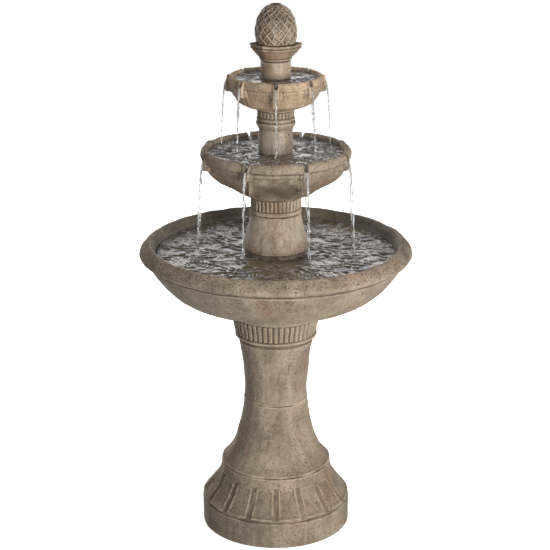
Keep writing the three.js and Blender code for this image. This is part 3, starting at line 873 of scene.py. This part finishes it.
def finial_collar():
    lobes = 6

    def shape(angle, radius, height):
        on_cup = smooth(height, 1104, 1130) * smooth(radius, 35, 40)
        from_face = np.abs(off_nearest(angle, lobes, 0))
        point = 1 / np.cos(np.radians(np.minimum(from_face, 28.5))) - 1.06
        return angle, radius + 46 * on_cup * point, height + 14 * on_cup * point

    def wet(angle, radius, height):
        low = 1 - smooth(height, UPPER_WATER + 2, UPPER_WATER + 9)
        # Below 1101 the stem is glossy, with painted highlight streaks.
        return np.maximum(low, 0.3 * (height < 1101))

    def tone_and_shade(angle, radius, height):
        # Painted shade on the cup's faces away from the front.
        off_front_painted_shade = smooth(np.abs(off_nearest(angle, 1, 0)), 30, 44) * smooth(height, 1104, 1116)
        return 0.8 - 0.26 * off_front_painted_shade

    outline = trace(
        (33.5, UPPER_FLOOR + GAP),
        (run, 8, (33.5, 1050)),
        (run, 2, (33.5, 1099)),
        (run, 1.1, (32.2, 1100.4), (32.2, 1102.4), (34.4, 1103.6), (35.6, 1105.6), (35, 1107.6)),
        (curve, 1.5, (37.4, 1110.5), (42, 1115.6), (46.4, 1121), (49.4, 1126.2)),
        (run, 1.3, (51.8, 1127.6), (52.2, 1129.4), (50.8, 1131.4), (50.6, 1132.8), (53.2, 1134),
         (53.9, 1136.2), (52.6, 1138), (50, 1138.6), (46.6, 1137.8), (45.6, 1136), (36.8, 1135)),
        (run, 9, (36.5, CUP_FLOOR), (24, CUP_FLOOR), (24, UPPER_FLOOR + GAP)),
        (run, 4, (33.5, UPPER_FLOOR + GAP)),
    )
    piece = casting("stone_finial_collar", "finial", outline, 360, None, shape, wet, seed=81,
                    lumps=0.6, tone_and_shade=tone_and_shade, warm=True)
    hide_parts("finial_collar")


def pinecone():
    """A bud wrapped in two families of crossing ribs, with a sunken scale in each diamond."""
    scales_round = 14
    low, high = 1140, 1221
    skin = curve([(40.5, 1138.6), (43, 1145), (44.6, 1155), (45, 1164), (44.6, 1172),
                  (43.1, 1181), (40.6, 1191), (36.8, 1200), (31, 1209), (24.6, 1215.4),
                  (18.2, 1220), (14, 1222.6)], 0.75)
    skin_r, skin_z = np.array(skin).T
    along = np.hypot(np.diff(skin_r), np.diff(skin_z)) / skin_r[1:]
    climb_at = np.append(0, np.cumsum(along)) * scales_round / TURN * 1.7

    def relief(angle, radius, height):
        place = place_of(angle, radius, height)
        climb = np.interp(height, skin_z, climb_at) + waves(place, 24, 0.07, 92)
        turns = angle * scales_round / 360 + waves(place, 24, 0.05, 93)
        left = np.abs((turns + climb / 2) % 1 - 0.5) * 2
        right = np.abs((turns - climb / 2) % 1 - 0.5) * 2
        width = TURN * radius / scales_round
        near_rib = np.minimum(1 - left, 1 - right) * width / 2
        uneven = np.clip(1 + waves(place, 15, 0.35, 94), 0.35, 1.5)
        rib = 1.0 * uneven * (1 - smooth(near_rib, 0.9, 3.0))
        sunk = 2.0 * uneven * smooth(near_rib, 1.4, 3.4)
        seed_bump = 0.6 * smooth(np.minimum(1 - left, 1 - right), 0.6, 0.95)
        on_bud = band(height, low + 1, high - 2, 3) * (radius > 16)
        return on_bud * (rib - sunk + seed_bump)

    def wet(angle, radius, height):
        in_hole = 1.0 * (radius < 12)
        # From 0.3 up the bud is glossy, with painted highlight streaks lower down, and wetter
        # towards the top.
        return np.maximum(in_hole, 0.3 + 0.34 * smooth(height, 1170, 1208))

    def tone_and_shade(angle, radius, height):
        # Painted shade, darker towards the left side.
        return 0.8 - 0.16 * smooth(-off_nearest(angle, 1, 0), 15, 60)

    outline = run([(36, CUP_FLOOR + GAP), (36, 1138), (40.5, 1138.6)], 3)
    outline += skin
    outline += run([(14, 1222.6), (12.4, TOP), (11, TOP - 0.6), (9.5, TOP - 4)], 1.1)
    outline += run([(9.5, TOP - 4), (9.5, CUP_FLOOR + GAP)], 10)
    outline += run([(9.5, CUP_FLOOR + GAP), (36, CUP_FLOOR + GAP)], 7)
    piece = casting("stone_pinecone", "finial", outline, 420, relief, wet=wet, seed=91,
                    lumps=0.45, tone_and_shade=tone_and_shade, warm=True)
    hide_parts("pinecone_finial")


# -------- pools

def landing_points(radius, first):
    """Where the falling streams strike a pool, as (x, y)."""
    angle = first + np.arange(SPOUTS) * 360 / SPOUTS
    return place_of(angle, radius, 0 * angle)[:, :2]


def pool(name, body, inner, outer, level, rise, length, drops, seed, step):
    """A rippled sheet of water: crossing wavelets, with rings round the places that water strikes.

    It runs on through the hollow column that stands in it, up to the riser tube.
    """
    outline = [(inner, level - 5), (outer - 2, level - 5)]
    outline += run([(outer, level), (inner, level)], step)
    outline += [(inner, level)]
    line = np.array(outline, float)
    steps = int(TURN * outer * 0.8 / step)
    angle, radius, height = turned(line, steps)
    grid = place_of(angle, radius, height)
    flat = place_of(angle, radius, 0 * height)
    warp = np.stack([waves(flat, 60, 7, seed), waves(flat, 60, 7, seed + 1), 0 * height], -1)
    longer_along_x = (0.5, 1.1, 1)
    drawn = (flat + warp) * longer_along_x
    ripple = waves(drawn, length, 0.45, seed + 2)
    ripple += 0.55 - 0.8 * np.abs(waves(drawn, length * 1.5, 0.9, seed + 3))
    ripple += waves(drawn, length / 2.2, 0.16, seed + 4)
    ripple *= np.clip(1 + waves(flat, 90, 0.16, seed + 5), 0.6, 1.4)
    foam = 0 * height
    for x, y in drops:
        away = np.hypot(grid[..., 0] - x, grid[..., 1] - y)
        ripple += 1.3 * np.cos(TURN * away / (length * 0.62)) * np.exp(-away / 26)
        foam = np.maximum(foam, 0.75 * (1 - smooth(away, 2, 9)))
    top = (line[:, 1] == level)[:, None]
    grid[..., 2] += np.where(top, rise * ripple, 0)
    # crest is the ripple height, where the water's material paints its highlight.
    crest = np.clip(0.5 + 0.35 * ripple, 0, 1)
    attributes = {"crest": crest.ravel(), "foam": foam.ravel()}
    faces = grid_faces(len(line), steps, True)
    return make_object(name, grid.reshape(-1, 3), faces, attributes, body, WATER)


# -------- falling water

def strand(path, widths):
    """Vertices and faces of a tube down path with a radius at each point, closed at its ends."""
    sides = 8
    path = np.array(path)
    vertices = [tuple(path[0])]
    for point, width in zip(path[1:-1], widths[1:-1]):
        for j in range(sides):
            lon = TURN * j / sides
            vertices.append((point[0] + width * math.cos(lon), point[1] + width * math.sin(lon),
                             point[2]))
    vertices.append(tuple(path[-1]))
    faces = [(0, 1 + j, 1 + (j + 1) % sides) for j in range(sides)]
    for i in range(len(path) - 3):
        a = 1 + i * sides
        for j in range(sides):
            k = (j + 1) % sides
            faces.append((a + j, a + sides + j, a + sides + k, a + k))
    last = len(vertices) - 1
    a = 1 + (len(path) - 3) * sides
    faces += [(a + (j + 1) % sides, a + j, last) for j in range(sides)]
    return vertices, faces


def drop(centre, width, tall):
    """Vertices and faces of one drop."""
    turn = np.linspace(0, math.pi, 6)
    return strand([centre + np.array([0, 0, tall * math.cos(t)]) for t in turn],
                  width * np.sin(turn))


def stream(name, angle, start, end, seed, thick=1.7):
    """Water falling from a spout's lip to the pool below: strands that break into drops."""
    strands, drops, splashes = 3, 26, 10
    rng = np.random.default_rng(seed)
    around = math.radians(angle)
    out = np.array([math.sin(around), -math.cos(around), 0])
    side = np.array([math.cos(around), math.sin(around), 0])
    fall = start[1] - end[1]

    def at(share, sway=0.0):
        reach = start[0] + (end[0] - start[0]) * math.sqrt(share)
        return out * reach + side * sway + np.array([0, 0, start[1] - fall * share])

    vertices, faces = [], []

    def add(part):
        base = len(vertices)
        vertices.extend(part[0])
        faces.extend([tuple(base + v for v in face) for face in part[1]])

    for _ in range(strands):
        offset = rng.uniform(-1.5, 1.5)
        turn = rng.uniform(0, TURN)
        share = 0.0
        while share < 0.8:
            length = rng.uniform(0.03, 0.14) if share > 0.25 else rng.uniform(0.2, 0.34)
            stop = share + length
            count = max(5, int(length * fall / 2.2))
            shares = np.linspace(share, stop, count)
            path = [at(s, offset * (1 + s) + 1.4 * s * math.sin(9 * s + turn)) for s in shares]
            grow = np.sin(np.linspace(0.12, math.pi - 0.12, count)) ** 0.5
            beads = 1 + 0.35 * np.sin(shares * fall / 3.1 + turn)
            thin = thick * (0.85 - 0.4 * shares)
            add(strand(path, grow * beads * thin))
            share = stop + rng.uniform(0.0, 0.12) * (0.2 + share)
    for _ in range(drops):
        share = 1 - rng.uniform(0, 0.9) ** 1.3
        centre = at(share, rng.normal() * 3.2 * share) + out * rng.normal() * 2 * share
        width = rng.uniform(0.5, 1.25)
        add(drop(centre, width, width * rng.uniform(1.0, 2.6)))
    for _ in range(splashes):
        centre = at(1.0, rng.normal() * 5) + out * rng.normal() * 4
        centre[2] = end[1] + abs(rng.normal()) * 6
        width = rng.uniform(0.5, 1.1)
        add(drop(centre, width, width))
    piece = make_object(name, vertices, faces, {}, None, FALLING)
    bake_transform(piece)
    return piece


def running_water():
    middle_landing = 190
    upper_landing = 122
    round_tube = 8.6
    pool("water_basin", "basin_set", round_tube, 270.5, BASIN_WATER, 1.5, 14,
         landing_points(middle_landing, MIDDLE_FIRST_SPOUT), 101, 2.2)
    pool("water_middle", "middle_tier", round_tube, 151.5, MIDDLE_WATER, 1.3, 11.5,
         landing_points(upper_landing, UPPER_FIRST_SPOUT), 111, 1.5)
    pool("water_upper", "upper_tier", round_tube, 92.2, UPPER_WATER, 1.0, 9, [], 121, 1.1)
    for k in range(SPOUTS):
        angle = MIDDLE_FIRST_SPOUT + k * 360 / SPOUTS
        stream(f"stream_middle_{k}", angle, (173, 889), (middle_landing, BASIN_WATER),
               200 + k)
        angle = UPPER_FIRST_SPOUT + k * 360 / SPOUTS
        stream(f"stream_upper_{k}", angle, (109.5, 1056), (upper_landing, MIDDLE_WATER),
               220 + k, thick=1.6)


# -------- pump and fittings

def fittings():
    """Finishes for the small parts that keep their CAD shape."""
    black = moulded("black_moulding", colour(26, 27, 29), colour(44, 45, 47), 0.42)
    grey = moulded("grey_moulding", colour(104, 106, 106), colour(134, 134, 130), 0.45)
    rubber = moulded("rubber", colour(20, 20, 20), colour(36, 35, 34), 0.72, grain=500)
    tube = moulded("tube_wall", colour(52, 56, 58), colour(78, 82, 82), 0.3, grain=300)
    ceramic = moulded("ceramic", colour(214, 210, 200), colour(236, 232, 224), 0.2, wear=0.1)
    magnet = moulded("magnet", colour(40, 40, 43), colour(66, 66, 70), 0.35)
    foam = sponge("foam")
    finishes = {
        "basin_cord_gland": rubber, "middle_bowl_grommet": rubber, "upper_bowl_grommet": rubber,
        "riser_tube": tube, "hose_adapter": grey, "pump_motor_housing": black,
        "pump_volute_cover": black, "front_shaft_bush": rubber, "rear_shaft_bush": rubber,
        "rotor_shaft": ceramic, "magnet_rotor": magnet, "pump_impeller": grey,
        "pump_strainer": black, "intake_sponge": foam, "flow_knob": grey,
    }
    for k in range(1, 5):
        finishes[f"suction_cup_{k}"] = rubber
    for name, finish in finishes.items():
        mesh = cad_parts[name].data
        mesh.materials.clear()
        mesh.materials.append(finish)


# -------- studio

def pale_floor():
    """A white floor, bright by itself, that adds no diffuse light to the stone."""
    half = 9.0
    mesh = bpy.data.meshes.new("floor")
    mesh.from_pydata([(-half, -half, 0), (half, -half, 0), (half, half, 0), (-half, half, 0)], [],
                     [(0, 1, 2, 3)])
    floor = add_object("floor", mesh)
    pale = Shader("pale_floor")
    pale.set(Base_Color=pale.mix(pale.noise(0.6), (0.9, 0.9, 0.9, 1), (0.93, 0.93, 0.93, 1)))
    pale.set(Roughness=0.9, Emission_Color=(1, 1, 1, 1), Emission_Strength=0.85)
    floor.visible_diffuse = False
    mesh.materials.append(pale.material)


def surround():
    """White behind everything and a faint fill; in reflections bright low down, dark above."""
    white, faint = 1.05, 0.09
    low_down, overhead = 1.95, 0.08
    world = bpy.data.worlds.new("studio")
    bpy.context.scene.world = world
    world.use_nodes = True
    tree = world.node_tree
    back = tree.nodes["Background"]
    set_inputs(back, Color=(1, 1, 1, 1))
    ray = tree.nodes.new("ShaderNodeLightPath")
    fill = tree.nodes.new("ShaderNodeMapRange")
    set_inputs(fill, To_Min=white, To_Max=faint)
    tree.links.new(ray.outputs["Is Diffuse Ray"], fill.inputs["Value"])
    direction = tree.nodes.new("ShaderNodeTexCoord")
    split = tree.nodes.new("ShaderNodeSeparateXYZ")
    tree.links.new(direction.outputs["Generated"], split.inputs[0])
    ceiling = tree.nodes.new("ShaderNodeMapRange")
    set_inputs(ceiling, From_Min=0.18, From_Max=0.66, To_Min=low_down, To_Max=overhead)
    tree.links.new(split.outputs["Z"], ceiling.inputs["Value"])
    choose = tree.nodes.new("ShaderNodeMix")
    tree.links.new(ray.outputs["Is Glossy Ray"], choose.inputs[0])
    tree.links.new(fill.outputs["Result"], choose.inputs[2])
    tree.links.new(ceiling.outputs["Result"], choose.inputs[3])
    tree.links.new(choose.outputs[0], back.inputs["Strength"])


def light(name, place, target, power, width, tint):
    data = bpy.data.lights.new(name, "AREA")
    data.energy = power
    data.size = width
    data.color = tint
    lamp = add_object(name, data)
    lamp.location = place
    lamp.rotation_euler = (Vector(target) - Vector(place)).to_track_quat("-Z", "Y").to_euler()
    return lamp


def lights():
    """A large key light from the front right, a little from the top, and an edge from behind."""
    light("key", (2.0, -3.68, 1.0), (0, 0, 0.6), 180, 1.3, (1, 0.98, 0.95))
    light("top", (0.6, -0.6, 3.4), (0, 0, 0.8), 18, 1.6, (1, 1, 1))
    behind = light("behind", (-1.5, 3.4, 1.5), (0, 0, 0.6), 110, 1.8, (1, 0.98, 0.95))
    behind.visible_glossy = False


def camera():
    """The view in front, a little above, looking down at the middle of the fountain."""
    data = bpy.data.cameras.new("camera")
    data.sensor_width = 36
    data.lens = 107.35
    eye = add_object("camera", data)
    eye.location = (-0.0018, -3.552, 1.787)
    eye.rotation_euler = (math.radians(90 - 18.4), 0, 0)
    data.dof.use_dof = False
    bpy.context.scene.camera = eye


pedestal_base()
pedestal_shaft()
basin()
middle_column()
middle_bowl()
upper_column()
upper_bowl()
finial_collar()
pinecone()
running_water()
fittings()
pale_floor()
surround()
lights()
camera()
bpy.context.scene.view_settings.view_transform = "Standard"
